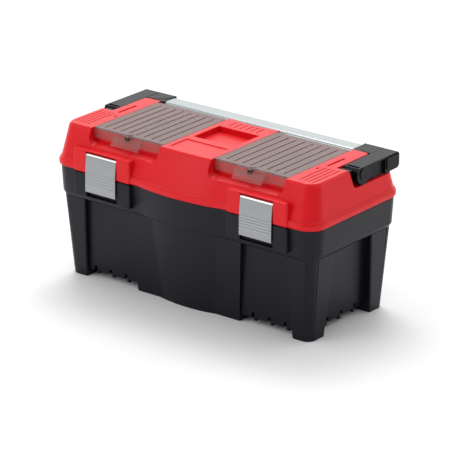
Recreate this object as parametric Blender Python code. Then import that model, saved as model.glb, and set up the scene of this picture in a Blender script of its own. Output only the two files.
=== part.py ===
"""A 55 cm plastic toolbox: a tub, a hinged lid with two small-parts organizers under clear
covers, two latches, a folding carrying handle and a lift-out tray.

Metres, +Z up. The front is at -Y, the length runs along X, and the origin is on the floor
under the middle of the box."""

import math

import bmesh
import bpy
from mathutils import Matrix, Vector

# Overall sizes
LENGTH = 0.550          # over the lid's flange
FLANGE_DEPTH = 0.2472   # front to back over the lid's flange, without the bow
OVERHANG = 0.0099       # the bow stands this far ahead of the flange, the hinges this far behind
TUB_HEIGHT = 0.1973     # floor to rim
LID_HEIGHT = 0.0727     # rim to the lid's top

# Walls and clearances
WALL = 0.003
GAP = 0.0003            # between pieces that touch
PLAY = 0.0006           # between pieces that move past each other
PIN_PLAY = 0.0003       # round a pin

# Tub
BAND_HEIGHT = 0.0463    # the stepped band under the rim
SHOULDER = 0.0065       # height of the chamfer under the band
SKIRT_LIFT = 0.012      # lower edge of the panels, between the feet
FLOOR_LIFT = 0.021      # underside behind the panels' skirts
LUG_LIFT = 0.0055       # lower end of the lugs in the skirts' notches
LUG_WIDTH = 0.005
NOTCH_WIDTH = 0.009
LUG_PITCH = 0.0335      # along the front and back
LUG_PITCH_END = 0.038   # along the ends
PANEL_SINK = 0.009      # front and back panels behind the pillars' faces
END_PANEL_SINK = 0.014
CENTRE_HALF = 0.121     # bowed centre panel, under the band
FACET_WIDTH = 0.049
PILLAR_WIDTH = 0.0525   # along X, under the band
PILLAR_DEPTH = 0.0624   # along Y, under the band
PANEL_DRAFT = 0.0065    # the panels' slanted sides widen this much towards the floor

# Latches
LATCH_WIDTH = 0.065
LATCH_END_INSET = 0.1122   # latch middle from the flange's end
LATCH_DROP = 0.0306        # below the rim
LATCH_RISE = 0.0317        # pin above the rim
LATCH_WALL = 0.003
BARREL_RADIUS = 0.0047
LATCH_PIN_RADIUS = 0.00175
BOSS_WIDTH = 0.122
BOSS_HEIGHT = 0.0412       # of the lid's latch boss, above the rim
BOW_GAP = 0.013            # from a boss to the start of the bow
RIB_COUNT = 5              # grooves across each latch
RIB_DEPTH = 0.0007

# Hinges of the lid
HINGE_RADIUS = 0.0052
HINGE_PIN_RADIUS = 0.002
HINGE_X = 0.150
KNUCKLE = 0.018
HINGE_RISE = 0.0027        # axis above the rim

# Organizers
CENTRE_LAND = 0.1058       # lid's middle land between the covers
END_STRIP = 0.0329         # land between a cover and the handle's arm
COVER_WALL = 0.0034
COVER_FRONT_INSET = 0.0296  # cover's front edge behind the flange's front
COVER_SKIRT = 0.018
TAB_WIDTH = 0.060
TAB_DROP = 0.0205
COVER_BARREL = 0.0028
COVER_PIN_RADIUS = 0.00125
POCKET_SLOPE = 0.282       # of the pocket's floor under the tab
POCKET_ROUND = 0.013       # the pocket's ends sweep up by this
WELL_DEPTH = 0.030
WELL_MARGIN = 0.0049       # from the cover's edge to the well
COVER_GROOVES = 8
GROOVE_WIDTH = 0.0024
GROOVE_DEPTH = 0.0010
LAND_GROOVES = 4           # on each of the lid's end lands
LIP_GROOVES = 6            # on the lip behind the centre recess
LIP_HOLLOW = 0.0045        # how far the lip's back edge curves in
CENTRE_DEPTH = 0.0095      # of the recess in the middle land
LAND_CORNER = 0.007        # round back corners of the end lands

# Handle
ARM_WIDTH = 0.0297
ARM_WEB_SINK = 0.005       # the arm's outer face is sunk between its hub and its end
ARM_INSET = 0.008          # arm's outer face from the flange's end
ARM_HEIGHT = 0.0293
ARM_RECESS = 0.031         # depth below the lid's top
RECESS_FRONT = -0.008
RECESS_SLANT = 0.25        # how much the recess's front wall leans back, per height
RECESS_ROUND = 0.008
PIVOT_Y = 0.022
PIVOT_BELOW_TOP = 0.012
PIVOT_PIN_RADIUS = 0.006
PIVOT_HEAD_RADIUS = 0.0125
BAR_DEPTH = 0.033
BAR_HEIGHT = 0.0185
BAR_WALL = 0.002
SLEEVE_LENGTH = 0.038
SLEEVE_WALL = 0.002

# Tray
TRAY_HEIGHT = 0.0437
TRAY_WALL = 0.002
TRAY_FLOOR = 0.0025
SPINE = 0.016
GRIP_LENGTH = 0.110
GRIP_HEIGHT = 0.020
DIVIDER = 0.002

CORNER_STEPS = 7
BOW_STEPS = 12
ROUND_STEPS = 24

# Worked out from the sizes above
END = LENGTH / 2
SIDE = FLANGE_DEPTH / 2
RIM = TUB_HEIGHT
TOP = TUB_HEIGHT + LID_HEIGHT
BAND = RIM - BAND_HEIGHT
LATCH_X = END - LATCH_END_INSET
BOSS_FRONT = -(SIDE + 0.0027)
BOW_HALF = LATCH_X - BOSS_WIDTH / 2 - BOW_GAP
LATCH_AXIS = Vector((0, BOSS_FRONT + BARREL_RADIUS + 0.0001, RIM + LATCH_RISE))
HINGE_AXIS = Vector((0, SIDE + OVERHANG - HINGE_RADIUS, RIM + HINGE_RISE))
ARM_OUTER = END - ARM_INSET
ARM_INNER = ARM_OUTER - ARM_WIDTH
RECESS_INNER = ARM_INNER - 0.0013
RECESS_FLOOR = TOP - ARM_RECESS
COVER_INNER = CENTRE_LAND / 2 + PLAY
COVER_OUTER = RECESS_INNER - END_STRIP
COVER_X = (COVER_INNER + COVER_OUTER) / 2
COVER_FRONT = -SIDE + COVER_FRONT_INSET
PIVOT_AXIS = Vector((0, PIVOT_Y, TOP - PIVOT_BELOW_TOP))
HUB_RADIUS = ARM_RECESS - PIVOT_BELOW_TOP - PLAY
BAR_BACK = SIDE - 0.0061
BAR_FRONT = BAR_BACK - BAR_DEPTH
BAR_TOP = TOP - 0.002
BAR_BOTTOM = BAR_TOP - BAR_HEIGHT
SLEEVE_FRONT = BAR_FRONT - SLEEVE_WALL - GAP
LAND_BACK = SLEEVE_FRONT - 0.0022
LIP_RADIUS = ((CENTRE_LAND / 2) ** 2 + LIP_HOLLOW ** 2) / (2 * LIP_HOLLOW)
COVER_AXIS = Vector((0, LAND_BACK - 0.0078, TOP - COVER_WALL + 0.0002))


def clear_scene():
    for old in list(bpy.data.objects):
        bpy.data.objects.remove(old, do_unlink=True)


def new_collection(name):
    collection = bpy.data.collections.new(name)
    bpy.context.scene.collection.children.link(collection)
    return collection


clear_scene()
PARTS = new_collection("toolbox")
CUTTERS = new_collection("cutters")


def material(name, colour, roughness, metallic=0.0, alpha=1.0):
    made = bpy.data.materials.new(name)
    made.use_nodes = True
    shader = made.node_tree.nodes["Principled BSDF"]
    shader.inputs["Base Color"].default_value = (*colour, 1)
    shader.inputs["Roughness"].default_value = roughness
    shader.inputs["Metallic"].default_value = metallic
    shader.inputs["Alpha"].default_value = alpha
    return made


RED = material("red_plastic", (0.72, 0.014, 0.022), 0.42)
BLACK = material("black_plastic", (0.018, 0.019, 0.021), 0.48)
ARM_BLACK = material("arm_plastic", (0.030, 0.032, 0.034), 0.40)
SMOKE = material("smoked_plastic", (0.42, 0.36, 0.34), 0.22, alpha=0.6)
ALUMINIUM = material("satin_aluminium", (0.62, 0.65, 0.66), 0.35, metallic=1.0)
STEEL = material("bright_steel", (0.55, 0.55, 0.56), 0.30, metallic=1.0)
TRAY_GREY = material("tray_plastic", (0.030, 0.031, 0.034), 0.50)


def solid(name, mesh):
    """An object for a bmesh, in the collection of cutters until it becomes a part."""
    data = bpy.data.meshes.new(name)
    bmesh.ops.recalc_face_normals(mesh, faces=mesh.faces)
    mesh.to_mesh(data)
    mesh.free()
    made = bpy.data.objects.new(name, data)
    made.hide_render = True
    made.display_type = "WIRE"
    CUTTERS.objects.link(made)
    return made


def part(made, finish, sharp_degrees=35):
    """Makes a shape one of the toolbox's own parts."""
    CUTTERS.objects.unlink(made)
    PARTS.objects.link(made)
    made.hide_render = False
    made.display_type = "TEXTURED"
    made.data.materials.append(finish)
    made.data.shade_smooth()
    made.data.set_sharp_from_angle(angle=math.radians(sharp_degrees))
    return made


def boolean(target, others, operation):
    for other in others:
        modifier = target.modifiers.new(f"{operation.lower()} {other.name}", "BOOLEAN")
        modifier.operation = operation
        modifier.solver = "EXACT"
        modifier.object = other
    return target


def cut(target, *cutters):
    return boolean(target, cutters, "DIFFERENCE")


def join(target, *others):
    return boolean(target, others, "UNION")


def block(name, low, high, bevel=0.0, segments=2):
    """A box between two corners, with all its edges rounded if a bevel is given."""
    low, high = Vector(low), Vector(high)
    mesh = bmesh.new()
    place = Matrix.Translation((low + high) / 2) @ Matrix.Diagonal((*(high - low), 1))
    bmesh.ops.create_cube(mesh, size=1, matrix=place)
    if bevel:
        bmesh.ops.bevel(mesh, geom=mesh.edges[:], offset=bevel, segments=segments,
                        profile=0.5, affect="EDGES")
    return solid(name, mesh)


def cylinder(name, radius, start, end, centre, steps=ROUND_STEPS):
    """A cylinder along X from start to end, round the axis through centre."""
    mesh = bmesh.new()
    place = Matrix.Translation(((start + end) / 2, centre.y, centre.z))
    place = place @ Matrix.Rotation(math.pi / 2, 4, "Y")
    bmesh.ops.create_cone(mesh, cap_ends=True, segments=steps, radius1=radius,
                          radius2=radius, depth=abs(end - start), matrix=place)
    return solid(name, mesh)


def prism(name, outline, start, end):
    """An outline of (y, z) points carried along X from start to end."""
    mesh = bmesh.new()
    face = mesh.faces.new([mesh.verts.new((start, y, z)) for y, z in outline])
    grown = bmesh.ops.extrude_face_region(mesh, geom=[face])
    moved = [item for item in grown["geom"] if isinstance(item, bmesh.types.BMVert)]
    bmesh.ops.translate(mesh, verts=moved, vec=(end - start, 0, 0))
    return solid(name, mesh)


def ring(z, x0, x1, y0, y1, radii, bow=0.0, bow_half=0.0):
    """A rectangle's outline at height z, with each corner's own radius, from the front left
    corner anticlockwise. With a bow, its front edge swells forward in an arc."""
    corners = ((x0, y0, 1, 1, 180), (x1, y0, -1, 1, 270), (x1, y1, -1, -1, 0),
               (x0, y1, 1, -1, 90))
    points = []
    for index, (x, y, inward_x, inward_y, first) in enumerate(corners):
        radius = radii[index]
        for step in range(CORNER_STEPS + 1):
            turn = math.radians(first + 90 * step / CORNER_STEPS)
            points.append((x + inward_x * radius + radius * math.cos(turn),
                           y + inward_y * radius + radius * math.sin(turn), z))
        if index == 0 and bow:
            arc_radius = (bow_half ** 2 + bow ** 2) / (2 * bow)
            for step in range(BOW_STEPS + 1):
                along = bow_half * (2 * step / BOW_STEPS - 1)
                rise = math.sqrt(arc_radius ** 2 - along ** 2) - (arc_radius - bow)
                points.append((along, y0 - rise, z))
    return points


def even_ring(z, inset_x, inset_y, radius, bow=0.0):
    """An outline that stands in from the lid's flange by the given insets."""
    return ring(z, inset_x - END, END - inset_x, inset_y - SIDE, SIDE - inset_y,
                (radius,) * 4, bow, BOW_HALF)


def loft(name, rings):
    """A closed solid through rings of as many points each, from the lowest up."""
    mesh = bmesh.new()
    levels = [[mesh.verts.new(point) for point in points] for points in rings]
    count = len(levels[0])
    for lower, upper in zip(levels, levels[1:]):
        for i in range(count):
            j = (i + 1) % count
            mesh.faces.new((lower[i], lower[j], upper[j], upper[i]))
    mesh.faces.new(levels[0][::-1])
    mesh.faces.new(levels[-1])
    return solid(name, mesh)


# Insets of the tub's and the lid's outlines from the flange, (along X, along Y)
BASE_INSET = (0.0206, 0.0210)
SHOULDER_INSET = (0.0105, 0.0112)
BAND_LOW_INSET = (0.0050, 0.0069)
BAND_TOP_INSET = (0.0015, 0.0042)
LID_EDGE_INSET = (0.0015, 0.0025)
LID_WALL_INSET = (0.0038, 0.0040)
LID_SHOULDER_INSET = (0.0134, 0.0186)
LID_TOP_INSET = (0.0174, 0.0226)


def tub_body(wall):
    """The tub under its band, as solids to be joined: the core behind the panels, the four
    corner pillars, and the centre panels at the front and back. A wall makes the inside."""
    top = BAND + (GAP if wall else -GAP)
    core = loft(f"core {wall}", [
        ring(z, wall - x, x - wall, wall - y, y - wall, (0.008,) * 4)
        for z, x, y in (
            (FLOOR_LIFT + wall if wall else SKIRT_LIFT, END - BASE_INSET[0] - END_PANEL_SINK,
             SIDE - BASE_INSET[1] - PANEL_SINK + 0.002),
            (top, END - SHOULDER_INSET[0] - END_PANEL_SINK,
             SIDE - SHOULDER_INSET[1] - PANEL_SINK))])
    pieces = []
    for across in (-1, 1):
        for along in (-1, 1):
            rings = []
            for z, inset, draft in ((wall, BASE_INSET, PANEL_DRAFT), (top, SHOULDER_INSET, 0)):
                outer_x = END - inset[0] - wall
                outer_y = SIDE - inset[1] - wall
                inner_x = END - SHOULDER_INSET[0] - PILLAR_WIDTH + draft + wall
                inner_y = SIDE - SHOULDER_INSET[1] - PILLAR_DEPTH + draft * 2 + wall
                xs = sorted((across * inner_x, across * outer_x))
                ys = sorted((along * inner_y, along * outer_y))
                radii = [0.003] * 4
                radii[{(-1, -1): 0, (1, -1): 1, (1, 1): 2, (-1, 1): 3}[across, along]] = 0.016
                rings.append(ring(z, *xs, *ys, radii))
            pieces.append(loft(f"pillar {across} {along} {wall}", rings))
    for along, bow in ((-1, 0.0075), (1, 0.0004)):
        rings = []
        for z, inset, draft in ((wall, BASE_INSET, 2 * PANEL_DRAFT), (top, SHOULDER_INSET, 0)):
            half = CENTRE_HALF - draft - wall
            flat = half - FACET_WIDTH
            face = SIDE - inset[1] - wall - (0.004 if draft else 0.0)
            arc_radius = (flat ** 2 + bow ** 2) / (2 * bow)
            outline = [(-half, 0.0), (-half, face)]
            for step in range(BOW_STEPS + 1):
                x = flat * (2 * step / BOW_STEPS - 1)
                outline.append((x, face + math.sqrt(arc_radius ** 2 - x ** 2)
                                - arc_radius + bow))
            outline += [(half, face), (half, 0.0)]
            rings.append([(x, along * y, z) for x, y in outline][::along])
        pieces.append(loft(f"centre {along} {wall}", rings))
    return join(core, *pieces)


def make_underside(tub):
    """Hollows the tub's underside behind the panels' skirts, and notches the skirts, with a
    lug standing down in each notch."""
    front = SIDE - BASE_INSET[1] - PANEL_SINK
    end = END - BASE_INSET[0] - END_PANEL_SINK
    centre = CENTRE_HALF - 2 * PANEL_DRAFT + 0.005
    pillar_x = END - SHOULDER_INSET[0] - PILLAR_WIDTH + PANEL_DRAFT - 0.0035
    pillar_y = SIDE - SHOULDER_INSET[1] - PILLAR_DEPTH + 2 * PANEL_DRAFT - 0.004
    skirt = WALL + 0.001
    for side in (-1, 1):
        x0, x1 = sorted((side * centre, side * pillar_x))
        cut(tub, block(f"underside {side}", (x0, skirt - front, -0.01),
                       (x1, front - skirt, FLOOR_LIFT)))
        x0, x1 = sorted((side * centre, side * (end - skirt)))
        cut(tub, block(f"end underside {side}", (x0, -pillar_y, -0.01),
                       (x1, pillar_y, FLOOR_LIFT)))
        middle = side * (centre + pillar_x) / 2 + side * 0.005
        for index in (-1, 0, 1):
            x = middle + index * LUG_PITCH
            for along in (-1, 1):
                ys = sorted((along * (front - skirt - 0.001), along * (front + 0.01)))
                cut(tub, block(f"notch {side} {index} {along}", (x - NOTCH_WIDTH / 2, ys[0], 0),
                               (x + NOTCH_WIDTH / 2, ys[1], FLOOR_LIFT)))
                ys = sorted((along * (front - skirt - 0.006), along * (front - 0.0015)))
                join(tub, block(f"lug {side} {index} {along}",
                                (x - LUG_WIDTH / 2, ys[0], LUG_LIFT),
                                (x + LUG_WIDTH / 2, ys[1], FLOOR_LIFT + 0.001)))
            y = index * LUG_PITCH_END
            xs = sorted((side * (end - skirt - 0.001), side * (end + 0.01)))
            cut(tub, block(f"end notch {side} {index}", (xs[0], y - NOTCH_WIDTH / 2, 0),
                           (xs[1], y + NOTCH_WIDTH / 2, FLOOR_LIFT)))
            xs = sorted((side * (end - skirt - 0.006), side * (end - 0.0015)))
            join(tub, block(f"end lug {side} {index}", (xs[0], y - LUG_WIDTH / 2, LUG_LIFT),
                            (xs[1], y + LUG_WIDTH / 2, FLOOR_LIFT + 0.001)))


def knuckle_spans():
    """The x spans of a hinge's two tub knuckles and of the lid's knuckle between them."""
    low = (-1.5 * KNUCKLE, -0.5 * KNUCKLE)
    high = (0.5 * KNUCKLE, 1.5 * KNUCKLE)
    middle = (-0.5 * KNUCKLE + PLAY, 0.5 * KNUCKLE - PLAY)
    return (low, high), middle


def make_tub():
    body = tub_body(0.0)
    band = loft("band", [
        even_ring(BAND - SHOULDER, *SHOULDER_INSET, 0.018, 0.0100),
        even_ring(BAND, *BAND_LOW_INSET, 0.026, 0.0103),
        even_ring(RIM, *BAND_TOP_INSET, 0.030, 0.0106)])
    band.name = "tub"
    join(band, body)
    for side in (-1, 1):
        middle = side * LATCH_X
        join(band, block(f"tub boss {side}",
                         (middle - BOSS_WIDTH / 2, BOSS_FRONT, BAND + 0.0025),
                         (middle + BOSS_WIDTH / 2, -SIDE + 0.012, RIM), 0.003, 3))
        tub_knuckles, _ = knuckle_spans()
        for index, (start, end) in enumerate(tub_knuckles):
            start += side * HINGE_X
            end += side * HINGE_X
            join(band,
                 prism(f"tub hinge arm {side} {index}",
                       ((SIDE - 0.008, RIM - 0.018), (HINGE_AXIS.y, RIM - 0.006),
                        (HINGE_AXIS.y, RIM - 0.0001), (SIDE - 0.008, RIM - 0.0001)),
                       start, end),
                 cylinder(f"tub knuckle {side} {index}", HINGE_RADIUS, start, end, HINGE_AXIS))
    make_underside(band)
    cut(band, tub_body(WALL))
    cut(band, loft("tub mouth", [
        even_ring(BAND, BAND_LOW_INSET[0] + WALL, BAND_LOW_INSET[1] + WALL, 0.023, 0.0103),
        even_ring(RIM + WALL, BAND_TOP_INSET[0] + WALL, BAND_TOP_INSET[1] + WALL,
                  0.027, 0.0106)]))
    slot_floor = -(SIDE - BAND_TOP_INSET[1] + 0.0005)
    for side in (-1, 1):
        middle = side * LATCH_X
        half = LATCH_WIDTH / 2 + PLAY
        cut(band, block(f"tub latch slot {side}", (middle - half, -SIDE - 0.05, BAND + 0.007),
                        (middle + half, slot_floor, RIM + 0.01)))
        catch = RIM - 0.0145
        join(band, prism(f"catch {side}",
                         ((slot_floor + 0.001, catch - 0.004), (slot_floor - 0.002, catch),
                          (slot_floor - 0.002, catch + 0.002), (slot_floor + 0.001, catch + 0.006)),
                         middle - 0.022, middle + 0.022))
        cut(band, cylinder(f"tub pin bore {side}", HINGE_PIN_RADIUS + PIN_PLAY,
                           side * HINGE_X - 2 * KNUCKLE, side * HINGE_X + 2 * KNUCKLE,
                           HINGE_AXIS, 12))
    return part(band, BLACK)


def recess_front(z):
    """How far forward the arm recess's slanted front wall stands at a height."""
    return RECESS_FRONT - 0.002 + (TOP - z) * RECESS_SLANT


def arm_recess_outline(grow, far):
    """The arm recess's section: a slanted front wall that turns into the floor in an arc."""
    foot = RECESS_FLOOR + RECESS_ROUND
    outline = [(SIDE + 0.05, far), (recess_front(TOP) - grow, far),
               (recess_front(TOP) - grow, TOP)]
    centre_y = recess_front(foot) + RECESS_ROUND
    for step in range(7):
        turn = math.radians(180 + 90 * step / 6)
        outline.append((centre_y + (RECESS_ROUND + grow) * math.cos(turn),
                        foot + (RECESS_ROUND + grow) * math.sin(turn)))
    return outline + [(SIDE + 0.05, RECESS_FLOOR - grow)]


def lid_hollows(grow):
    """What is let into the lid from above, on both sides: the arms' and the bar's recess, the
    wells with the covers' rebates and finger pockets, and the centre recess. Grown by a wall,
    they keep the lid's inside away from themselves."""
    far = TOP + 0.03
    hollows = [
        block(f"bar recess {grow}", (RECESS_FRONT - END, LAND_BACK - grow, RECESS_FLOOR - grow),
              (END + 0.02, SIDE + 0.05, far)),
        block(f"centre recess {grow}", (-0.042 - grow, -0.030 - grow, TOP - CENTRE_DEPTH - grow),
              (0.042 + grow, 0.038 + grow, far)),
        block(f"shallow recess {grow}", (-0.0435 - grow, -0.090 - grow, TOP - 0.0015 - grow),
              (0.0435 + grow, -0.046 + grow, far)),
        upright_cylinder(f"lip hollow {grow}", LIP_RADIUS + grow, 0,
                         LAND_BACK - LIP_HOLLOW + LIP_RADIUS, RECESS_FLOOR - grow, far, 192)]
    for side in (-1, 1):
        def span(inner, outer):
            return sorted((side * inner, side * outer))
        x0, x1 = span(RECESS_INNER - grow, END + 0.02)
        hollows.append(prism(f"arm recess {side} {grow}", arm_recess_outline(grow, far),
                             x0, x1))
        x0, x1 = span(COVER_INNER + WELL_MARGIN - grow, COVER_OUTER - WELL_MARGIN + grow)
        hollows.append(block(f"well {side} {grow}",
                             (x0, COVER_FRONT + 0.0075 - grow, TOP - WELL_DEPTH - COVER_WALL - grow),
                             (x1, COVER_AXIS.y - 0.0065 + grow, far)))
        x0, x1 = span(COVER_INNER - PLAY - grow, COVER_OUTER + PLAY + grow)
        rebate = TOP - COVER_WALL - 0.0004 - grow
        hollows.append(block(f"rebate {side} {grow}", (x0, -SIDE - 0.02, rebate),
                             (x1, LAND_BACK + 0.001, far)))
        hollows.append(block(f"cover hinge notch {side} {grow}",
                             (x0, COVER_AXIS.y - COVER_BARREL - PLAY - grow, TOP - 0.0085 - grow),
                             (x1, LAND_BACK + 0.001, far)))
        pocket = COVER_FRONT + 0.0024 + grow
        behind = COVER_FRONT - 0.0050 - grow
        hollows.append(prism(f"pocket {side} {grow}",
                             ((pocket, far), (behind, far),
                              (behind, pocket_floor(behind, grow) - 0.0004),
                              (pocket, pocket_floor(pocket, grow) - 0.0004)), x0, x1))
        hollows.append(flared_pocket(f"flared pocket {side} {grow}", x0 + 0.0004, x1 - 0.0004,
                                     behind + 0.0013 + 2 * grow, far - 0.003, grow))
    return hollows


def pocket_floor(y, grow):
    """Height of the sloping floor of the fingers' pocket under a cover's tab."""
    return TOP - 0.0400 + (y + SIDE + 0.03) * POCKET_SLOPE - 1.3 * grow


def flared_pocket(name, x0, x1, back, far, grow):
    """The pocket ahead of the cover's skirt, whose ends sweep up into the lid in a round."""
    radius = POCKET_ROUND + grow
    front = -SIDE - 0.03
    stations = []
    for step in range(ROUND_STEPS // 3 + 1):
        angle = math.pi / 2 * step / (ROUND_STEPS // 3)
        stations.append((radius * (1 - math.cos(angle)), radius * (1 - math.sin(angle))))
    rings = [(x0 + along, rise) for along, rise in stations]
    rings += [(x1 - along, rise) for along, rise in reversed(stations)]
    return loft(name, [[(x, back, far), (x, front, far), (x, front, pocket_floor(front, grow) + rise),
                        (x, back, pocket_floor(back, grow) + rise)] for x, rise in rings])


def round_land_corner(lid, side):
    """Rounds the land's back corner, where the arm turns towards the bar."""
    x = side * (RECESS_INNER - LAND_CORNER)
    y = LAND_BACK - LAND_CORNER
    corner = block(f"land corner {side}", (min(x, x + side * 0.01), y, RECESS_FLOOR),
                   (max(x, x + side * 0.01), y + 0.01, TOP + 0.01))
    cut(corner, upright_cylinder(f"land round {side}", LAND_CORNER, x, y, RECESS_FLOOR - 0.01,
                                 TOP + 0.02, 32))
    cut(lid, corner)


def make_land_grooves(lid, side):
    """Cuts the grooves, the slot and the small notch into the land at the lid's end, and half
    of the grooves in the lip behind the centre recess."""
    strip = (COVER_OUTER + RECESS_INNER) / 2
    pitch = 0.0085
    for index in range(LAND_GROOVES):
        x = side * (strip + 0.003 + index * pitch)
        cut(lid, block(f"land groove {side} {index}",
                       (x - GROOVE_WIDTH / 2, COVER_FRONT + 0.004, TOP - GROOVE_DEPTH),
                       (x + GROOVE_WIDTH / 2, RECESS_FRONT - 0.012, TOP + 0.01)))
    x = side * strip
    cut(lid,
        block(f"land slot {side}", (x - 0.0025, RECESS_FRONT - 0.004, TOP - 0.002),
              (x + 0.0025, RECESS_FRONT + 0.042, TOP + 0.01)),
        block(f"land notch {side}", (x - side * 0.0074 - 0.002, RECESS_FRONT - 0.0245, TOP - 0.002),
              (x - side * 0.0074 + 0.002, RECESS_FRONT - 0.0195, TOP + 0.01)))
    for index in range(LIP_GROOVES // 2):
        x = side * (index + 0.5) * 0.0115
        cut(lid, block(f"lip groove {side} {index}",
                       (x - GROOVE_WIDTH / 2, 0.047, TOP - GROOVE_DEPTH),
                       (x + GROOVE_WIDTH / 2, LAND_BACK - LIP_HOLLOW - 0.006, TOP + 0.01)))


def make_lid():
    lid = loft("lid", [
        even_ring(RIM + GAP, *LID_EDGE_INSET, 0.030, OVERHANG),
        even_ring(RIM + 0.0024, 0, 0, 0.031, OVERHANG),
        even_ring(RIM + 0.0098, 0, 0, 0.031, OVERHANG),
        even_ring(RIM + 0.0106, 0.0013, 0.0013, 0.030, OVERHANG),
        even_ring(RIM + 0.0138, 0.0017, 0.0017, 0.030, OVERHANG),
        even_ring(RIM + 0.0147, *LID_WALL_INSET, 0.028, OVERHANG),
        even_ring(TOP - 0.004, *LID_SHOULDER_INSET, 0.022, 0.0025),
        even_ring(TOP, *LID_TOP_INSET, 0.019, 0.0025)])
    tub_knuckles, lid_knuckle = knuckle_spans()
    for side in (-1, 1):
        middle = side * LATCH_X
        join(lid, block(f"lid boss {side}", (middle - BOSS_WIDTH / 2, BOSS_FRONT, RIM + GAP),
                        (middle + BOSS_WIDTH / 2, -SIDE + 0.020, RIM + BOSS_HEIGHT), 0.0035, 3))
    inside = loft("lid inside", [
        even_ring(RIM - 0.01, LID_WALL_INSET[0] + WALL, LID_WALL_INSET[1] + WALL, 0.025, OVERHANG),
        even_ring(RIM + 0.0147, LID_WALL_INSET[0] + WALL, LID_WALL_INSET[1] + WALL,
                  0.025, OVERHANG),
        even_ring(TOP - 0.007, LID_SHOULDER_INSET[0] + WALL, LID_SHOULDER_INSET[1] + WALL,
                  0.019, 0.0025),
        even_ring(TOP - WALL, LID_TOP_INSET[0] + WALL, LID_TOP_INSET[1] + WALL, 0.016, 0.0025)])
    cut(inside, *lid_hollows(WALL))
    slot_floor = LATCH_AXIS.y + BARREL_RADIUS + PLAY
    half = LATCH_WIDTH / 2 + PLAY
    for side in (-1, 1):
        middle = side * LATCH_X
        cut(inside, block(f"slot wall {side}", (middle - half - WALL, -SIDE - 0.05, RIM - 0.02),
                          (middle + half + WALL, slot_floor + WALL, RIM + BOSS_HEIGHT)))
    cut(lid, inside, *lid_hollows(0.0))
    for side in (-1, 1):
        middle = side * LATCH_X
        cut(lid,
            block(f"lid latch slot {side}", (middle - half, -SIDE - 0.05, RIM - 0.01),
                  (middle + half, slot_floor, LATCH_AXIS.z + BARREL_RADIUS + 0.0026)),
            cylinder(f"latch pin bore {side}", LATCH_PIN_RADIUS + PIN_PLAY,
                     middle - half - 0.0125, middle + half + 0.0125, LATCH_AXIS, 12),
            cylinder(f"pivot bore {side}", PIVOT_PIN_RADIUS + PIN_PLAY,
                     side * (RECESS_INNER - 0.006), side * (RECESS_INNER + 0.006), PIVOT_AXIS),
            cylinder(f"cover pin bore {side}", COVER_PIN_RADIUS + PIN_PLAY,
                     side * (COVER_INNER - 0.0065), side * (COVER_OUTER + 0.0065),
                     COVER_AXIS, 12))
        round_land_corner(lid, side)
        make_land_grooves(lid, side)
        for index, (start, end) in enumerate(tub_knuckles):
            cut(lid, block(f"knuckle notch {side} {index}",
                           (side * HINGE_X + start - PLAY, SIDE - 0.0022, RIM - 0.01),
                           (side * HINGE_X + end + PLAY, SIDE + 0.02, RIM + 0.0098)))
        start, end = (side * HINGE_X + edge for edge in lid_knuckle)
        join(lid,
             prism(f"lid hinge arm {side}",
                   ((SIDE - 0.006, RIM + 0.0030), (HINGE_AXIS.y, HINGE_AXIS.z),
                    (HINGE_AXIS.y, HINGE_AXIS.z + HINGE_RADIUS - 0.0003),
                    (SIDE - 0.006, RIM + 0.0105)), start, end),
             cylinder(f"lid knuckle {side}", HINGE_RADIUS, start, end, HINGE_AXIS))
        cut(lid, cylinder(f"lid pin bore {side}", HINGE_PIN_RADIUS + PIN_PLAY,
                          start - 0.002, end + 0.002, HINGE_AXIS, 12))
    return part(lid, RED)


def latch_face(share):
    """The latch's outer face, (y, z), from its top at 0 to its lip at 1."""
    z = LATCH_AXIS.z + (RIM - LATCH_DROP - LATCH_AXIS.z) * share
    y = BOSS_FRONT + 0.0001 - 0.0033 * share - 0.0014 * math.sin(math.pi * share)
    return y, z


def make_latch(side, name):
    inner = [(y + LATCH_WALL, z) for y, z in map(latch_face, (step / 12 for step in range(13)))]
    outer = [latch_face(step / 12) for step in range(5)]
    for rib in range(RIB_COUNT):
        for share, depth in ((0.00, 0), (0.012, RIB_DEPTH), (0.030, RIB_DEPTH), (0.042, 0)):
            y, z = latch_face(0.44 + 0.078 * rib + share)
            outer.append((y + depth, z))
    outer += [latch_face(0.86), latch_face(0.93), latch_face(1)]
    middle = side * LATCH_X
    latch = prism(f"latch_{name}", outer + inner[::-1], middle - LATCH_WIDTH / 2,
                  middle + LATCH_WIDTH / 2)
    bead_y, bead_z = latch_face(0.84)
    bead_tip = -(SIDE - BAND_TOP_INSET[1] + 0.0005) - 0.002 - PLAY
    join(latch,
         cylinder(f"latch barrel {name}", BARREL_RADIUS, middle - LATCH_WIDTH / 2,
                  middle + LATCH_WIDTH / 2, LATCH_AXIS),
         prism(f"latch bead {name}",
               ((bead_y + 0.001, bead_z - 0.003), (bead_y + 0.001, bead_z + 0.003),
                (bead_tip, bead_z + 0.001), (bead_tip, bead_z - 0.001)),
               middle - 0.022, middle + 0.022))
    cut(latch, cylinder(f"latch bore {name}", LATCH_PIN_RADIUS + PIN_PLAY,
                        middle - LATCH_WIDTH, middle + LATCH_WIDTH, LATCH_AXIS, 12))
    part(latch, ALUMINIUM)
    reach = LATCH_WIDTH / 2 + PLAY + 0.012
    part(cylinder(f"latch_pin_{name}", LATCH_PIN_RADIUS, middle - reach, middle + reach,
                  LATCH_AXIS, 12), STEEL)


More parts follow.
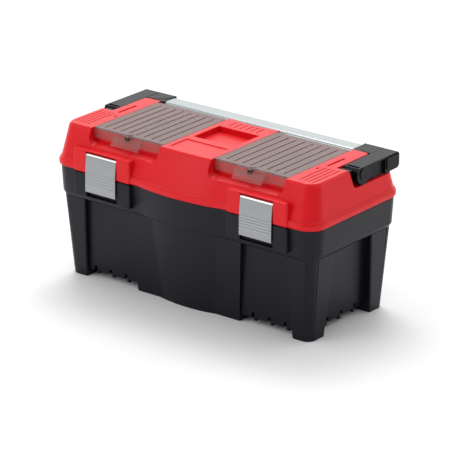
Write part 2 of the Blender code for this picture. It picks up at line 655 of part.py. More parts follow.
def make_cover(side, name):
    x0, x1 = sorted((side * COVER_INNER, side * COVER_OUTER))
    under = TOP - COVER_WALL
    cover = block(f"organizer_cover_{name}", (x0, COVER_FRONT, under), (x1, COVER_AXIS.y, TOP))
    tab0 = side * COVER_X - TAB_WIDTH / 2
    tab1 = tab0 + TAB_WIDTH
    skirt_bottom = TOP - COVER_SKIRT
    join(cover,
         prism(f"skirt {name}",
               ((COVER_FRONT + 0.0004, TOP - 0.0005), (COVER_FRONT, TOP - 0.0008),
                (COVER_FRONT - 0.0022, skirt_bottom), (COVER_FRONT + 0.0002, skirt_bottom),
                (COVER_FRONT + 0.0020, under + 0.001)), x0 + 0.0003, x1 - 0.0003),
         prism(f"tab {name}",
               ((COVER_FRONT + 0.001, TOP - 0.0010), (COVER_FRONT - 0.0010, TOP - 0.0010),
                (COVER_FRONT - 0.0140, TOP - TAB_DROP), (COVER_FRONT - 0.0118, TOP - TAB_DROP),
                (COVER_FRONT + 0.001, under - 0.001)), tab0, tab1),
         block(f"nib {name}", (side * COVER_X - 0.004, COVER_FRONT + 0.001, under + 0.001),
               (side * COVER_X + 0.004, COVER_FRONT + 0.005, TOP + 0.0008)),
         cylinder(f"cover barrel {name}", COVER_BARREL, x0, x1, COVER_AXIS))
    pitch = (COVER_OUTER - COVER_INNER) / (COVER_GROOVES + 1)
    for index in range(COVER_GROOVES):
        x = side * (COVER_INNER + pitch * (index + 1))
        cut(cover, block(f"cover groove {name} {index}",
                         (x - GROOVE_WIDTH / 2, COVER_FRONT + 0.009, TOP - GROOVE_DEPTH),
                         (x + GROOVE_WIDTH / 2, COVER_AXIS.y - 0.012, TOP + 0.01)))
    cut(cover, cylinder(f"cover bore {name}", COVER_PIN_RADIUS + PIN_PLAY, x0 - 0.01, x1 + 0.01,
                        COVER_AXIS, 12))
    part(cover, SMOKE)
    part(cylinder(f"cover_pin_{name}", COVER_PIN_RADIUS, x0 - 0.006, x1 + 0.006,
                  COVER_AXIS, 12), STEEL)
    floor = TOP - WELL_DEPTH - COVER_WALL
    inner = COVER_INNER + WELL_MARGIN
    width = COVER_OUTER - WELL_MARGIN - inner
    for index in (1, 2):
        x = side * (inner + width * index / 3)
        part(block(f"organizer_divider_{name}_{index}",
                   (x - DIVIDER / 2, COVER_FRONT + 0.0075 + GAP, floor + GAP),
                   (x + DIVIDER / 2, COVER_AXIS.y - 0.0065 - GAP, under - 0.0030)), TRAY_GREY)


def bar_section(name, grow, start, end):
    """The bar's section carried along X, with rounded long edges, grown all round."""
    mesh = bmesh.new()
    low = Vector((start, BAR_FRONT - grow, BAR_BOTTOM - grow))
    high = Vector((end, BAR_BACK + grow, BAR_TOP + grow))
    place = Matrix.Translation((low + high) / 2) @ Matrix.Diagonal((*(high - low), 1))
    bmesh.ops.create_cube(mesh, size=1, matrix=place)
    long_edges = [edge for edge in mesh.edges
                  if abs(edge.verts[0].co.x - edge.verts[1].co.x) > 1e-6]
    bmesh.ops.bevel(mesh, geom=long_edges, offset=0.006 + grow, segments=4, profile=0.5,
                    affect="EDGES")
    return solid(name, mesh)


def make_handle():
    bar_end = ARM_OUTER - 0.005
    bar = bar_section("handle_bar", 0, -bar_end, bar_end)
    cut(bar, bar_section("bar bore", -BAR_WALL, -END, END))
    for side, name in ((-1, "left"), (1, "right")):
        def across(inner, outer):
            return sorted((side * inner, side * outer))
        back = BAR_BACK + SLEEVE_WALL
        top = TOP - 0.0004
        x0, x1 = across(ARM_INNER, ARM_OUTER)
        arm = prism(f"handle_arm_{name}",
                    ((PIVOT_Y, top), (PIVOT_Y, top - ARM_HEIGHT), (back - 0.003, top - ARM_HEIGHT
                     + 0.002), (back, top - ARM_HEIGHT + 0.005), (back, top - 0.002),
                     (back - 0.002, top)), x0, x1)
        hub = cylinder(f"hub {name}", HUB_RADIUS, x0, x1, PIVOT_AXIS, 32)
        cut(hub, block(f"hub top {name}", (x0 - 0.01, -0.1, top), (x1 + 0.01, 0.1, top + 0.05)))
        s0, s1 = across(ARM_INNER - SLEEVE_LENGTH, ARM_INNER + 0.001)
        join(arm, hub, block(f"sleeve {name}", (s0, SLEEVE_FRONT, BAR_BOTTOM - 0.0032),
                             (s1, back, top - 0.0002), 0.0012, 1))
        cut(arm,
            bar_section(f"sleeve bore {name}", GAP, *across(0, END)),
            cylinder(f"hub bore {name}", PIVOT_PIN_RADIUS + PIN_PLAY, x0 - 0.01, x1 + 0.01,
                     PIVOT_AXIS))
        screw_x = side * (ARM_INNER - SLEEVE_LENGTH / 2)
        screw_y = (BAR_FRONT + BAR_BACK) / 2
        for target in (arm, bar):
            cut(target, upright_cylinder(f"screw hole {target.name} {name}", 0.0019, screw_x,
                                         screw_y, BAR_BOTTOM - 0.01, BAR_BOTTOM + 0.006, 12))
        web = block(f"web {name}", (*across(ARM_OUTER - ARM_WEB_SINK, ARM_OUTER + 0.01)[:1],
                                    PIVOT_Y, top - ARM_HEIGHT - 0.01),
                    (across(ARM_OUTER - ARM_WEB_SINK, ARM_OUTER + 0.01)[1],
                     BAR_FRONT - 0.003, top - 0.003))
        cut(web, cylinder(f"web hub {name}", HUB_RADIUS, x0 - 0.02, x1 + 0.02, PIVOT_AXIS, 32))
        cut(arm, web, block(f"nose pocket {name}", (x0 + 0.0035, 0.0105, top - 0.004),
                            (x1 - 0.0035, 0.0162, top + 0.01)))
        part(arm, ARM_BLACK)
        make_screw(f"bar_screw_{name}", screw_x, screw_y)
        make_cap(f"bar_cap_{name}", side, bar_end, back, top)
        make_pivot(f"arm_pivot_{name}", side)
        make_stop(f"handle_stop_{name}", *across(RECESS_INNER + 0.002, RECESS_INNER + 0.022))
    part(bar, ALUMINIUM)


def upright_cylinder(name, radius, x, y, z0, z1, steps):
    mesh = bmesh.new()
    bmesh.ops.create_cone(mesh, cap_ends=True, segments=steps, radius1=radius, radius2=radius,
                          depth=z1 - z0, matrix=Matrix.Translation((x, y, (z0 + z1) / 2)))
    return solid(name, mesh)


def make_screw(name, x, y):
    """A pan-head screw up through the sleeve into the bar's lower wall."""
    seat = BAR_BOTTOM - 0.0032 - GAP
    screw = upright_cylinder(name, 0.0016, x, y, seat - 0.001, BAR_BOTTOM + 0.0045, 12)
    join(screw, upright_cylinder(f"head {name}", 0.0038, x, y, seat - 0.0022, seat, 20))
    part(screw, STEEL)


def make_cap(name, side, bar_end, back, top):
    """A plug in the bar's end whose plate closes the arm's mouth."""
    inset = BAR_WALL + GAP
    plug = bar_section(name, -inset, *sorted((side * (bar_end - 0.012),
                                              side * (ARM_OUTER + 0.001))))
    plate = block(f"plate {name}",
                  (*sorted((side * (ARM_OUTER + GAP), side * (ARM_OUTER + 0.0016)))[:1],
                   BAR_FRONT + 0.0005, BAR_BOTTOM - 0.0025),
                  (max(side * (ARM_OUTER + GAP), side * (ARM_OUTER + 0.0016)),
                   back - 0.0005, top - 0.0025))
    join(plug, plate)
    return part(plug, ARM_BLACK)


def make_pivot(name, side):
    """A shouldered pivot pin: its shank runs through the arm's hub into the lid's wall, and
    its round head lies on the arm's outer face."""
    start, end = side * (RECESS_INNER - 0.0055), side * (ARM_OUTER + 0.0007)
    pin = cylinder(name, PIVOT_PIN_RADIUS, start, end, PIVOT_AXIS)
    head = PIVOT_AXIS.copy()
    join(pin, cylinder(f"head {name}", PIVOT_HEAD_RADIUS - 0.0015, side * (ARM_OUTER + GAP),
                       side * (ARM_OUTER + 0.0014), head, 32))
    return part(pin, ARM_BLACK)


def make_stop(name, x0, x1):
    """A block on the recess's front wall that the raised arm's hub comes up against."""
    low, high = TOP - 0.014, TOP - 0.0025
    back = PIVOT_Y - HUB_RADIUS - PLAY
    stop = prism(name, ((recess_front(high) + GAP, high), (recess_front(low) + GAP, low),
                        (back, low), (back, high - 0.002), (back - 0.002, high)), x0, x1)
    return part(stop, ARM_BLACK)


def make_hinge_pins():
    for side, name in ((-1, "left"), (1, "right")):
        reach = 1.5 * KNUCKLE + 0.001
        part(cylinder(f"hinge_pin_{name}", HINGE_PIN_RADIUS, side * HINGE_X - reach,
                      side * HINGE_X + reach, HINGE_AXIS, 12), STEEL)


def make_tray():
    """A tray that stands on the ledge inside the band, in two rows either side of a spine
    with a grip through it, and its loose dividers."""
    bottom = BAND + GAP
    top = bottom + TRAY_HEIGHT
    low = (BAND_LOW_INSET[0] + WALL + 0.0015, BAND_LOW_INSET[1] + WALL + 0.0015)
    high = (LID_WALL_INSET[0] + WALL + 0.0012, BAND_TOP_INSET[1] + WALL + 0.0018)
    tray = loft("tray", [
        ring(z, x - END, END - x, y - SIDE, SIDE - y, (radius,) * 4)
        for z, (x, y), radius in ((bottom, low, 0.0215), (top, high, 0.0245))])
    floor = bottom + TRAY_FLOOR
    for along in (-1, 1):
        rings = []
        for z, (x, y), radius in ((floor, low, 0.0195), (top + 0.004, high, 0.0225)):
            x = END - x - TRAY_WALL
            ys = sorted((along * SPINE / 2, along * (SIDE - y - TRAY_WALL)))
            radii = (radius, radius, 0.002, 0.002)[::-along]
            rings.append(ring(z, -x, x, *ys, radii))
        cut(tray, loft(f"tray row {along}", rings))
    grip_middle = floor + TRAY_HEIGHT * 0.5
    cut(tray, block("tray grip",
                    (-GRIP_LENGTH / 2, -SPINE, grip_middle - GRIP_HEIGHT / 2),
                    (GRIP_LENGTH / 2, SPINE, grip_middle + GRIP_HEIGHT / 2), 0.0))
    part(tray, TRAY_GREY)
    third = (END - low[0] - TRAY_WALL) / 3
    for side, name in ((-1, "left"), (1, "right")):
        part(block(f"tray_divider_{name}",
                   (side * third - DIVIDER / 2, -SIDE + low[1] + TRAY_WALL + GAP, floor + GAP),
                   (side * third + DIVIDER / 2, -SPINE / 2 - GAP, top - 0.006)), TRAY_GREY)


make_tub()
make_lid()
for latch_side, latch_name in ((-1, "left"), (1, "right")):
    make_latch(latch_side, latch_name)
    make_cover(latch_side, latch_name)
make_handle()
make_hinge_pins()
make_tray()
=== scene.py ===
"""The looks of a 55 cm plastic toolbox: black tub, red lid, smoked organizer covers, aluminium
latches and carrying bar, and the lift-out tray, each finished as it is made."""

import math

import bpy
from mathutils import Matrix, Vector


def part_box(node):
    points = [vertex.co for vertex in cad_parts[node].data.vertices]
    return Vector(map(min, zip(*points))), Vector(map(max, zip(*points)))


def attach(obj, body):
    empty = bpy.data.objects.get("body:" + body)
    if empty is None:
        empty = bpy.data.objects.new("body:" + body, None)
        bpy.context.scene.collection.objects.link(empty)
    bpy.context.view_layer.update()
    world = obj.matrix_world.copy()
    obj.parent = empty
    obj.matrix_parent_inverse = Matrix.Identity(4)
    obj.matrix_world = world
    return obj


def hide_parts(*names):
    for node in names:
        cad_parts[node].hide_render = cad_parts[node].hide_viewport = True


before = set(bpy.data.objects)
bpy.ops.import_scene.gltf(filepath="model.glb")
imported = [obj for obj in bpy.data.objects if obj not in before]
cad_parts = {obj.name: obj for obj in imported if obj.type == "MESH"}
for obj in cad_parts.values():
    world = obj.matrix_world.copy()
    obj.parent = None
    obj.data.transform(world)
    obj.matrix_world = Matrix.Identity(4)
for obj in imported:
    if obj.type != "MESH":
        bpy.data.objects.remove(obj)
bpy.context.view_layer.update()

# The tub. Black polypropylene, injection moulded in one shot with 3 mm walls, so every edge of
# the tool has a small radius and every face carries the mould's fine spark-eroded texture.


def select_only(piece):
    bpy.ops.object.select_all(action="DESELECT")
    piece.select_set(True)
    bpy.context.view_layer.objects.active = piece


def edit(piece):
    """Opens a piece in edit mode with all of it selected."""
    select_only(piece)
    bpy.ops.object.mode_set(mode="EDIT")
    bpy.ops.mesh.select_all(action="SELECT")


def moulded_copy(node, name):
    """A copy of a CAD node's shape with its loose triangles merged into whole faces."""
    same_point, same_plane = 0.00002, math.radians(0.4)
    piece = bpy.data.objects.new(name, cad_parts[node].data.copy())
    bpy.context.scene.collection.objects.link(piece)
    piece.data.materials.clear()
    edit(piece)
    bpy.ops.mesh.remove_doubles(threshold=same_point)
    bpy.ops.mesh.customdata_custom_splitnormals_clear()
    bpy.ops.mesh.beautify_fill(angle_limit=same_plane)
    bpy.ops.mesh.tris_convert_to_quads(face_threshold=same_plane,
                                       shape_threshold=math.radians(100))
    bpy.ops.object.mode_set(mode="OBJECT")
    return piece


def finish_modifier(piece, kind, **settings):
    """Adds one modifier with its settings and applies it."""
    select_only(piece)
    modifier = piece.modifiers.new(kind.title(), kind)
    for name, value in settings.items():
        setattr(modifier, name, value)
    bpy.ops.object.modifier_apply(modifier=modifier.name)


def round_edges(piece, radius, sharper_than=32):
    """Rounds every edge that turns by more than an angle, as a mould or a die leaves it."""
    edit(piece)
    bpy.ops.mesh.select_mode(type="EDGE")
    bpy.ops.mesh.select_all(action="DESELECT")
    bpy.ops.mesh.edges_select_sharp(sharpness=math.radians(sharper_than))
    bpy.ops.mesh.bevel(offset=radius, segments=2, affect="EDGES", clamp_overlap=False,
                       miter_outer="ARC")
    bpy.ops.object.mode_set(mode="OBJECT")
    select_only(piece)
    bpy.ops.object.shade_smooth_by_angle(angle=math.radians(38))
    finish_modifier(piece, "WEIGHTED_NORMAL", keep_sharp=True, weight=50)


def node_group(name, inputs, outputs):
    """A shader group's tree with its sockets, and its input and output nodes."""
    tree = bpy.data.node_groups.new(name, "ShaderNodeTree")
    for label, kind, value in inputs:
        socket = tree.interface.new_socket(label, in_out="INPUT", socket_type=kind)
        socket.default_value = value
    for label, kind in outputs:
        tree.interface.new_socket(label, in_out="OUTPUT", socket_type=kind)
    return tree, tree.nodes.new("NodeGroupInput"), tree.nodes.new("NodeGroupOutput")


def make_moulded_skin():
    """Moulded plastic's skin: a fine erosion texture, slow clouding of the colour where the
    melt cooled unevenly, and a slight change of gloss from place to place."""
    tree, given, put = node_group(
        "moulded skin",
        (("Colour", "NodeSocketColor", (0.5, 0.5, 0.5, 1)),
         ("Grain per metre", "NodeSocketFloat", 900.0),
         ("Grain height", "NodeSocketFloat", 0.2),
         ("Roughness", "NodeSocketFloat", 0.45),
         ("Clouding", "NodeSocketFloat", 0.06)),
        (("Colour", "NodeSocketColor"), ("Roughness", "NodeSocketFloat"),
         ("Normal", "NodeSocketVector")))
    place = tree.nodes.new("ShaderNodeTexCoord")
    grain = tree.nodes.new("ShaderNodeTexNoise")
    grain.inputs["Detail"].default_value = 3
    tree.links.new(place.outputs["Object"], grain.inputs["Vector"])
    tree.links.new(given.outputs["Grain per metre"], grain.inputs["Scale"])
    cloud = tree.nodes.new("ShaderNodeTexNoise")
    cloud.inputs["Scale"].default_value = 9
    cloud.inputs["Detail"].default_value = 4
    tree.links.new(place.outputs["Object"], cloud.inputs["Vector"])

    swing = tree.nodes.new("ShaderNodeMath")
    swing.operation = "SUBTRACT"
    swing.inputs[1].default_value = 0.5
    tree.links.new(cloud.outputs["Fac"], swing.inputs[0])
    amount = tree.nodes.new("ShaderNodeMath")
    amount.operation = "MULTIPLY_ADD"
    amount.inputs[2].default_value = 1.0
    tree.links.new(swing.outputs[0], amount.inputs[0])
    tree.links.new(given.outputs["Clouding"], amount.inputs[1])
    shade = tree.nodes.new("ShaderNodeMix")
    shade.data_type = "RGBA"
    shade.blend_type = "MULTIPLY"
    shade.inputs["Factor"].default_value = 1
    tree.links.new(given.outputs["Colour"], shade.inputs[6])
    tree.links.new(amount.outputs[0], shade.inputs[7])
    tree.links.new(shade.outputs[2], put.inputs["Colour"])

    gloss = tree.nodes.new("ShaderNodeMath")
    gloss.operation = "MULTIPLY_ADD"
    gloss.inputs[1].default_value = 0.10
    tree.links.new(swing.outputs[0], gloss.inputs[0])
    tree.links.new(given.outputs["Roughness"], gloss.inputs[2])
    tree.links.new(gloss.outputs[0], put.inputs["Roughness"])

    bump = tree.nodes.new("ShaderNodeBump")
    bump.inputs["Distance"].default_value = 0.0002
    tree.links.new(given.outputs["Grain height"], bump.inputs["Strength"])
    tree.links.new(grain.outputs["Fac"], bump.inputs["Height"])
    tree.links.new(bump.outputs["Normal"], put.inputs["Normal"])
    return tree


MOULDED_SKIN = make_moulded_skin()


def new_material(name):
    """A material and its Principled shader."""
    made = bpy.data.materials.new(name)
    made.use_nodes = True
    return made, made.node_tree.nodes["Principled BSDF"]


def skinned_material(name, skin, values):
    """A material whose colour, roughness and normal come from a skin group with these values."""
    made, shader = new_material(name)
    tree = made.node_tree
    group = tree.nodes.new("ShaderNodeGroup")
    group.node_tree = skin
    for label, value in values.items():
        group.inputs[label].default_value = value
    for output, socket in (("Colour", "Base Color"), ("Roughness", "Roughness"),
                           ("Normal", "Normal")):
        tree.links.new(group.outputs[output], shader.inputs[socket])
    return made, shader


def moulded_plastic(name, colour, roughness, grain_height=0.2, clouding=0.06, specular=0.5,
                    alpha=1.0):
    made, shader = skinned_material(name, MOULDED_SKIN, {
        "Colour": (*colour, 1), "Roughness": roughness, "Grain height": grain_height,
        "Clouding": clouding})
    shader.inputs["Specular IOR Level"].default_value = specular
    shader.inputs["Alpha"].default_value = alpha
    return made


def put_in_place(piece, material, body, slot, *nodes):
    """Gives a finished piece its material and its body, and hides the nodes it stands for; the
    slot is not used.
    """
    piece.data.materials.clear()
    piece.data.materials.append(material)
    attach(piece, body)
    if nodes:
        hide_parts(*nodes)


black_tub_plastic = moulded_plastic("black tub plastic", (0.0036, 0.0042, 0.0090), 0.40, 0.25,
                                    specular=0.24)

tub_shell = moulded_copy("tub", "tub_shell")
round_edges(tub_shell, 0.0008)
put_in_place(tub_shell, black_tub_plastic, "tub", "tub_plastic", "tub")

# The lid. Red polypropylene from the same kind of mould, with a finer texture than the tub's. It
# turns on two pins at the back, and the covers, the latches and the handle all hang on it.

red_lid_plastic = moulded_plastic("red lid plastic", (0.74, 0.0035, 0.0095), 0.37, 0.15, 0.04,
                                  specular=0.26)

lid_shell = moulded_copy("lid", "lid_shell")
round_edges(lid_shell, 0.0007)
put_in_place(lid_shell, red_lid_plastic, "lid", "lid_plastic", "lid")

# The latches. Each is cut from an aluminium extrusion and satin anodised, so its ribs and its
# rolled top run the whole width with the die's fine lines along them. Each turns on a pin through
# the roll. The roll's top is painted in a far paler aluminium: a painted highlight.


def make_drawn_metal():
    """Extruded aluminium: streaks along X from the die, in the gloss and slightly in height."""
    tree, given, put = node_group(
        "drawn metal",
        (("Colour", "NodeSocketColor", (0.6, 0.6, 0.6, 1)),
         ("Roughness", "NodeSocketFloat", 0.3),
         ("Streaks", "NodeSocketFloat", 0.12)),
        (("Colour", "NodeSocketColor"), ("Roughness", "NodeSocketFloat"),
         ("Normal", "NodeSocketVector")))
    place = tree.nodes.new("ShaderNodeTexCoord")
    stretch = tree.nodes.new("ShaderNodeMapping")
    stretch.inputs["Scale"].default_value = (4, 900, 900)
    tree.links.new(place.outputs["Object"], stretch.inputs["Vector"])
    lines = tree.nodes.new("ShaderNodeTexNoise")
    lines.inputs["Scale"].default_value = 1
    lines.inputs["Detail"].default_value = 4
    tree.links.new(stretch.outputs["Vector"], lines.inputs["Vector"])
    swing = tree.nodes.new("ShaderNodeMath")
    swing.operation = "SUBTRACT"
    swing.inputs[1].default_value = 0.5
    tree.links.new(lines.outputs["Fac"], swing.inputs[0])
    gloss = tree.nodes.new("ShaderNodeMath")
    gloss.operation = "MULTIPLY_ADD"
    tree.links.new(swing.outputs[0], gloss.inputs[0])
    tree.links.new(given.outputs["Streaks"], gloss.inputs[1])
    tree.links.new(given.outputs["Roughness"], gloss.inputs[2])
    tree.links.new(gloss.outputs[0], put.inputs["Roughness"])
    amount = tree.nodes.new("ShaderNodeMath")
    amount.operation = "MULTIPLY_ADD"
    amount.inputs[1].default_value = 0.16
    amount.inputs[2].default_value = 1.0
    tree.links.new(swing.outputs[0], amount.inputs[0])
    shade = tree.nodes.new("ShaderNodeMix")
    shade.data_type = "RGBA"
    shade.blend_type = "MULTIPLY"
    shade.inputs["Factor"].default_value = 1
    tree.links.new(given.outputs["Colour"], shade.inputs[6])
    tree.links.new(amount.outputs[0], shade.inputs[7])
    tree.links.new(shade.outputs[2], put.inputs["Colour"])
    bump = tree.nodes.new("ShaderNodeBump")
    bump.inputs["Strength"].default_value = 0.12
    bump.inputs["Distance"].default_value = 0.0001
    tree.links.new(lines.outputs["Fac"], bump.inputs["Height"])
    tree.links.new(bump.outputs["Normal"], put.inputs["Normal"])
    return tree


DRAWN_METAL = make_drawn_metal()


def drawn_metal(name, colour, roughness):
    made, shader = skinned_material(name, DRAWN_METAL, {
        "Colour": (*colour, 1), "Roughness": roughness})
    shader.inputs["Metallic"].default_value = 1
    shader.inputs["Anisotropic"].default_value = 0.3
    return made


latch_aluminium = drawn_metal("latch aluminium", (0.34, 0.35, 0.355), 0.40)

# The top 3 mm of each latch, its roll, get a far paler aluminium than the plate and a lower
# roughness; the paler colour is a painted highlight.
ROLL_HEIGHT = 0.0030
painted_highlight_aluminium = drawn_metal("painted highlight aluminium", (0.86, 0.87, 0.875), 0.30)

for side in ("left", "right"):
    latch = moulded_copy(f"latch_{side}", f"latch_plate_{side}")
    round_edges(latch, 0.0003, sharper_than=25)
    put_in_place(latch, latch_aluminium, f"latch_{side}", "latch_aluminium", f"latch_{side}")
    latch.data.materials.append(painted_highlight_aluminium)
    # Faces of the roll's top get the painted highlight aluminium.
    roll_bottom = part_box(f"latch_{side}")[1][2] - ROLL_HEIGHT
    for face in latch.data.polygons:
        if face.center.z > roll_bottom:
            face.material_index = 1

# The carrying handle. A flat aluminium tube plugged at both ends, held in the sleeves of two
# black nylon arms that turn on shouldered pivots.

bar_aluminium = drawn_metal("bar aluminium", (0.36, 0.385, 0.39), 0.26)
arm_nylon = moulded_plastic("arm nylon", (0.0030, 0.0034, 0.0050), 0.36, 0.2, 0.05,
                            specular=0.15)

handle_tube = moulded_copy("handle_bar", "handle_tube")
round_edges(handle_tube, 0.0004, sharper_than=40)
put_in_place(handle_tube, bar_aluminium, "handle", "bar_aluminium", "handle_bar")


def add_box(name, low, high):
    """A box between two corners, with its place in its mesh."""
    low, high = Vector(low), Vector(high)
    bpy.ops.object.select_all(action="DESELECT")
    bpy.ops.mesh.primitive_cube_add(size=1, location=(low + high) / 2)
    piece = bpy.context.object
    piece.name = name
    piece.scale = high - low
    bpy.ops.object.transform_apply(location=True, rotation=True, scale=True)
    return piece


def combine(piece, other, operation):
    """Joins another shape to a piece, or cuts it out, and removes the other shape."""
    finish_modifier(piece, "BOOLEAN", operation=operation, solver="EXACT", object=other)
    bpy.data.objects.remove(other, do_unlink=True)


SLEEVE_STEP = 0.0007
SLEEVE_LENGTH = 0.038
PLATE_RADIUS = 0.0372


def step_sleeve(arm, side):
    """Sinks the sleeve's top by a small step, outside the round edge of the corner plate."""
    outward = -1 if side == "left" else 1
    low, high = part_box(f"handle_arm_{side}")
    sleeve_end = high[0] if side == "left" else low[0]
    sleeve_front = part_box("handle_bar")[0][1] - 0.006
    corner = sleeve_end + outward * SLEEVE_LENGTH
    beyond_end = sleeve_end - outward * 0.002
    sunk = add_box("sunk sleeve",
                   (min(beyond_end, corner), sleeve_front, high[2] - SLEEVE_STEP),
                   (max(beyond_end, corner), high[1] + 0.01, high[2] + 0.003))
    bpy.ops.object.select_all(action="DESELECT")
    bpy.ops.mesh.primitive_cylinder_add(vertices=128, radius=PLATE_RADIUS, depth=0.02,
                                        location=(corner, high[1] - 0.001, high[2]))
    combine(sunk, bpy.context.object, "DIFFERENCE")
    combine(arm, sunk, "DIFFERENCE")


for side in ("left", "right"):
    arm = moulded_copy(f"handle_arm_{side}", f"arm_{side}")
    step_sleeve(arm, side)
    round_edges(arm, 0.0005)
    put_in_place(arm, arm_nylon, "handle", "arm_plastic", f"handle_arm_{side}")
    plug = moulded_copy(f"bar_cap_{side}", f"end_plug_{side}")
    round_edges(plug, 0.0005)
    put_in_place(plug, arm_nylon, "handle", "arm_plastic", f"bar_cap_{side}")
    pivot = moulded_copy(f"arm_pivot_{side}", f"pivot_disc_{side}")
    round_edges(pivot, 0.0003)
    put_in_place(pivot, arm_nylon, "lid", "arm_plastic", f"arm_pivot_{side}")
    stop = moulded_copy(f"handle_stop_{side}", f"stop_block_{side}")
    round_edges(stop, 0.0007)
    put_in_place(stop, arm_nylon, "lid", "arm_plastic", f"handle_stop_{side}")

# The organizer covers. Smoked clear polypropylene, 3.4 mm thick at the rim, with grooves along
# the top, a skirt that hangs over the well's front wall and a tab that leans out for a finger.
# Each snaps shut with a small eye above the tab, and turns on a pin at the back.

smoked_plastic = moulded_plastic("smoked plastic", (0.255, 0.158, 0.148), 0.28, 0.06, 0.10,
                                 alpha=0.62)
# The skirt and tab take a lighter, clearer copy of the smoked plastic, tuned to how they are lit:
# painted light, not a different plastic.
skirt_painted_light_plastic = moulded_plastic("skirt painted light plastic", (0.34, 0.25, 0.23), 0.22, 0.05, 0.08,
                                alpha=0.17)
# Groove floors take a darker, more opaque copy of the smoked plastic: painted shade in the
# grooves.
painted_shade_plastic = moulded_plastic("painted shade plastic", (0.070, 0.047, 0.045), 0.35, 0.06, 0.10,
                                 alpha=0.80)

# Distances back from the cover's own face, and down from its top.
SLOT_BACK, SLOT_WIDTH = (0.0062, 0.0082), (-0.0005, 0.0060)
SKIRT_BACK, SKIRT_DOWN = 0.0030, 0.0038
GROOVE_BACK, GROOVE_DOWN = 0.0085, (0.0002, 0.0014)
CATCH_HALF_WIDTH, CATCH_FORWARD, CATCH_DOWN = 0.0040, (0.0072, 0.0016), (0.0080, 0.0012)
EYE_RADIUS, EYE_FORWARD, EYE_DOWN = 0.0019, 0.0050, 0.0042

for side in ("left", "right"):
    cover = moulded_copy(f"organizer_cover_{side}", f"cover_{side}")
    low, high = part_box(f"organizer_cover_{side}")
    middle_x, face_y, top_z = (low[0] + high[0]) / 2, low[1] + 0.0140, high[2] - 0.0008
    combine(cover, add_box("catch slot",
                           (middle_x + SLOT_WIDTH[0], face_y + SLOT_BACK[0], top_z - 0.01),
                           (middle_x + SLOT_WIDTH[1], face_y + SLOT_BACK[1], top_z + 0.01)),
            "DIFFERENCE")
    round_edges(cover, 0.0003)
    put_in_place(cover, smoked_plastic, f"cover_{side}", "smoked_cover",
                 f"organizer_cover_{side}")
    cover.data.materials.append(skirt_painted_light_plastic)
    cover.data.materials.append(painted_shade_plastic)
    for face in cover.data.polygons:
        place = face.center
        # Skirt faces get the lighter copy: painted light.
        if place.z < top_z - SKIRT_DOWN and place.y < face_y + SKIRT_BACK:
            face.material_index = 1
        # Groove floors get the darker copy: painted shade.
        elif (top_z - GROOVE_DOWN[1] < place.z < top_z - GROOVE_DOWN[0]
              and place.y > face_y + GROOVE_BACK):
            face.material_index = 2

    catch = add_box(f"catch_{side}",
                    (middle_x - CATCH_HALF_WIDTH, face_y - CATCH_FORWARD[0],
                     top_z - CATCH_DOWN[0]),
                    (middle_x + CATCH_HALF_WIDTH, face_y - CATCH_FORWARD[1],
                     top_z - CATCH_DOWN[1]))
    bpy.ops.object.select_all(action="DESELECT")
    bpy.ops.mesh.primitive_cylinder_add(vertices=32, radius=EYE_RADIUS, depth=0.02,
                                        location=(middle_x, face_y - EYE_FORWARD,
                                                  top_z - EYE_DOWN),
                                        rotation=(math.pi / 2, 0, 0))
    combine(catch, bpy.context.object, "DIFFERENCE")
    round_edges(catch, 0.0006)
    # The catch takes the same darker copy: painted shade for its dark eye.
    put_in_place(catch, painted_shade_plastic, f"cover_{side}", "smoked_cover")

# The lift-out tray and the loose dividers. Black polypropylene like the tub's, a little greyer.
# The tray rests inside the tub with nothing fixing it, and the dividers slide into place.

tray_plastic = moulded_plastic("tray plastic", (0.022, 0.023, 0.026), 0.50, 0.2)

tray_box = moulded_copy("tray", "tray_box")
round_edges(tray_box, 0.0006)
put_in_place(tray_box, tray_plastic, "tray", "tray_plastic", "tray")
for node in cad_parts:
    if "divider" in node:
        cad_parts[node].data.materials.clear()
        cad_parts[node].data.materials.append(tray_plastic)

# The pins and screws. Zinc-plated steel, turned and cut to length, pressed or driven into the
# plastic round them.

zinc_steel = drawn_metal("zinc steel", (0.52, 0.52, 0.54), 0.30)

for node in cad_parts:
    if "pin" in node or "screw" in node:
        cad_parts[node].data.materials.clear()
        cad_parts[node].data.materials.append(zinc_steel)

# The studio. A pale seamless floor and a white dome that is brighter high up behind the box, with
# one soft light at the front left and one behind, so that the lid's top takes a pale gloss.

floor_paint, floor_shader = new_material("pale floor")
floor_shader.inputs["Base Color"].default_value = (0.96, 0.96, 0.965, 1)
floor_shader.inputs["Roughness"].default_value = 0.9
floor_shader.inputs["Specular IOR Level"].default_value = 0.0
bpy.ops.object.select_all(action="DESELECT")
bpy.ops.mesh.primitive_plane_add(size=30)
floor = bpy.context.object
floor.name = "floor"
floor.data.materials.append(floor_paint)

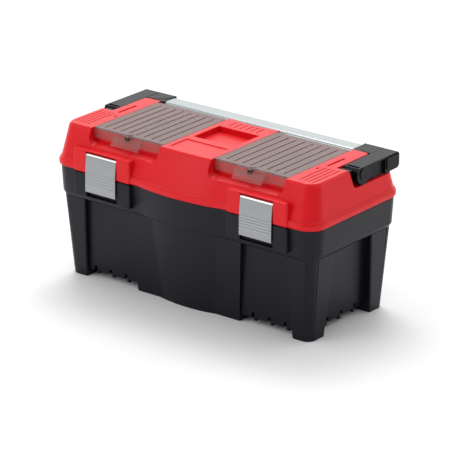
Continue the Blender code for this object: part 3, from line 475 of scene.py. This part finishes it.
DOME_BRIGHTEST_TOWARDS = Vector((-0.53, 0.68, 0.50)).normalized()
world = bpy.data.worlds.new("studio")
bpy.context.scene.world = world
world.use_nodes = True
dome = world.node_tree
backdrop = dome.nodes["Background"]
backdrop.inputs["Color"].default_value = (1, 1, 1, 1)
direction = dome.nodes.new("ShaderNodeTexCoord")
towards = dome.nodes.new("ShaderNodeVectorMath")
towards.operation = "DOT_PRODUCT"
towards.inputs[1].default_value = DOME_BRIGHTEST_TOWARDS
dome.links.new(direction.outputs["Generated"], towards.inputs[0])
level = dome.nodes.new("ShaderNodeMapRange")
level.inputs["From Min"].default_value = 0.0
level.inputs["From Max"].default_value = 1.0
level.inputs["To Min"].default_value = 0.50
level.inputs["To Max"].default_value = 1.55
dome.links.new(towards.outputs["Value"], level.inputs["Value"])
dome.links.new(level.outputs["Result"], backdrop.inputs["Strength"])
bpy.context.scene.view_settings.view_transform = "Standard"


def soft_light(name, place, size, power):
    """A rectangular light of a size in metres and a power in watts, aimed at the box."""
    light = bpy.data.lights.new(name, "AREA")
    light.shape = "RECTANGLE"
    light.size, light.size_y = size
    light.energy = power
    holder = bpy.data.objects.new(name, light)
    bpy.context.scene.collection.objects.link(holder)
    holder.location = place
    aim = BOX_MIDDLE - Vector(place)
    holder.rotation_euler = aim.to_track_quat("-Z", "Y").to_euler()


BOX_MIDDLE = Vector((0, 0, 0.12))
soft_light("front left", (-1.6, -3.0, 1.9), (1.8, 1.8), 23)
soft_light("behind", (-0.9, 1.2, 2.7), (1.5, 1.1), 30)

FOCAL_LENGTH_MM = 217.9
CAMERA_AIM = Vector((0.00748, 0, 0.10936))
camera_data = bpy.data.cameras.new("camera")
camera_data.sensor_width = 36
camera_data.lens = FOCAL_LENGTH_MM
camera = bpy.data.objects.new("camera", camera_data)
bpy.context.scene.collection.objects.link(camera)
camera.location = (2.6830, -3.3942, 1.7537)
camera.rotation_euler = (CAMERA_AIM - camera.location).to_track_quat("-Z", "Y").to_euler()
bpy.context.scene.camera = camera
